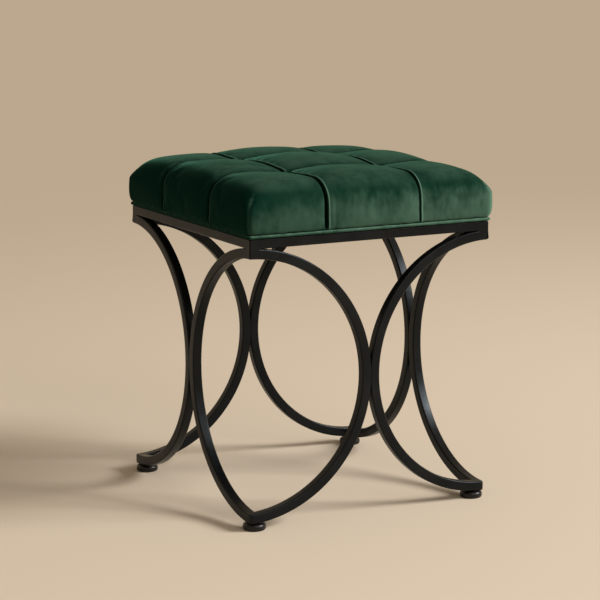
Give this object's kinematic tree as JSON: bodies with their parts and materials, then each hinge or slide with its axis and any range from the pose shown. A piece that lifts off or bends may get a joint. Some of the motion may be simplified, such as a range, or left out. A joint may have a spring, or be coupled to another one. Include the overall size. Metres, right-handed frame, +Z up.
{
  "type": "accent stool",
  "caption": "Square accent stool with a tufted velvet seat on a frame of paired half-circle tubes, standing on levelling glides.",
  "frame": {"origin": "on the floor under the middle of the seat", "axes": "+Z up, the front side faces -Y, and +X is to the right seen from the front"},
  "size_m": [0.3952, 0.3952, 0.4901],
  "materials": {
    "black_steel": "satin black powder coat",
    "black_nylon": "moulded black nylon, soft gloss",
    "zinc_steel": "zinc plated",
    "plywood": "bare plywood",
    "foam": "cut foam",
    "velvet": "emerald velvet, soft sheen",
    "dust_cloth": "black non-woven cloth",
    "twine": "waxed twine",
    "toggle_plastic": "moulded nylon"
  },
  "bodies": {
    "frame": {"front_rail": "black_steel", "right_rail": "black_steel", "back_rail": "black_steel", "left_rail": "black_steel", "front_arc_left": "black_steel", "front_arc_right": "black_steel", "right_arc_front": "black_steel", "right_arc_back": "black_steel", "back_arc_right": "black_steel", "back_arc_left": "black_steel", "left_arc_back": "black_steel", "left_arc_front": "black_steel", "seat_tab_front_left": "black_steel", "seat_tab_front_right": "black_steel", "seat_tab_back_right": "black_steel", "seat_tab_back_left": "black_steel", "foot_bushes": "black_steel", "seat_board": "plywood", "foam_pad": "foam", "velvet_cover": "velvet", "seat_welt": "velvet", "dust_cover": "dust_cloth", "t_nuts": "zinc_steel", "seat_washers": "zinc_steel", "seat_screws": "zinc_steel", "tuft_twines": "twine", "tuft_toggles": "toggle_plastic", "seat_staples": "zinc_steel"},
    "glide_front_left": {"glide_base_front_left": "black_nylon"},
    "stem_front_left": {"glide_stem_front_left": "zinc_steel"},
    "glide_front_right": {"glide_base_front_right": "black_nylon"},
    "stem_front_right": {"glide_stem_front_right": "zinc_steel"},
    "glide_back_right": {"glide_base_back_right": "black_nylon"},
    "stem_back_right": {"glide_stem_back_right": "zinc_steel"},
    "glide_back_left": {"glide_base_back_left": "black_nylon"},
    "stem_back_left": {"glide_stem_back_left": "zinc_steel"}
  },
  "joints": [
    {"name": "glide_height_front_left", "type": "slide", "parent": "frame", "child": "glide_front_left", "axis": [0, 0, -1], "range_m": [0, 0.006]},
    {"name": "stem_turn_front_left", "type": "hinge", "parent": "glide_front_left", "child": "stem_front_left", "pos_m": [-0.1767, -0.1767, 0.01], "axis": [0, 0, -1], "continuous": true},
    {"name": "glide_height_front_right", "type": "slide", "parent": "frame", "child": "glide_front_right", "axis": [0, 0, -1], "range_m": [0, 0.006]},
    {"name": "stem_turn_front_right", "type": "hinge", "parent": "glide_front_right", "child": "stem_front_right", "pos_m": [0.1767, -0.1767, 0.01], "axis": [0, 0, -1], "continuous": true},
    {"name": "glide_height_back_right", "type": "slide", "parent": "frame", "child": "glide_back_right", "axis": [0, 0, -1], "range_m": [0, 0.006]},
    {"name": "stem_turn_back_right", "type": "hinge", "parent": "glide_back_right", "child": "stem_back_right", "pos_m": [0.1767, 0.1767, 0.01], "axis": [0, 0, -1], "continuous": true},
    {"name": "glide_height_back_left", "type": "slide", "parent": "frame", "child": "glide_back_left", "axis": [0, 0, -1], "range_m": [0, 0.006]},
    {"name": "stem_turn_back_left", "type": "hinge", "parent": "glide_back_left", "child": "stem_back_left", "pos_m": [-0.1767, 0.1767, 0.01], "axis": [0, 0, -1], "continuous": true}
  ],
  "couplings": [
    {"joint": "stem_turn_front_left", "follows": "glide_height_front_left", "rad_per_m": 5026.5},
    {"joint": "stem_turn_front_right", "follows": "glide_height_front_right", "rad_per_m": 5026.5},
    {"joint": "stem_turn_back_right", "follows": "glide_height_back_right", "rad_per_m": 5026.5},
    {"joint": "stem_turn_back_left", "follows": "glide_height_back_left", "rad_per_m": 5026.5}
  ]
}
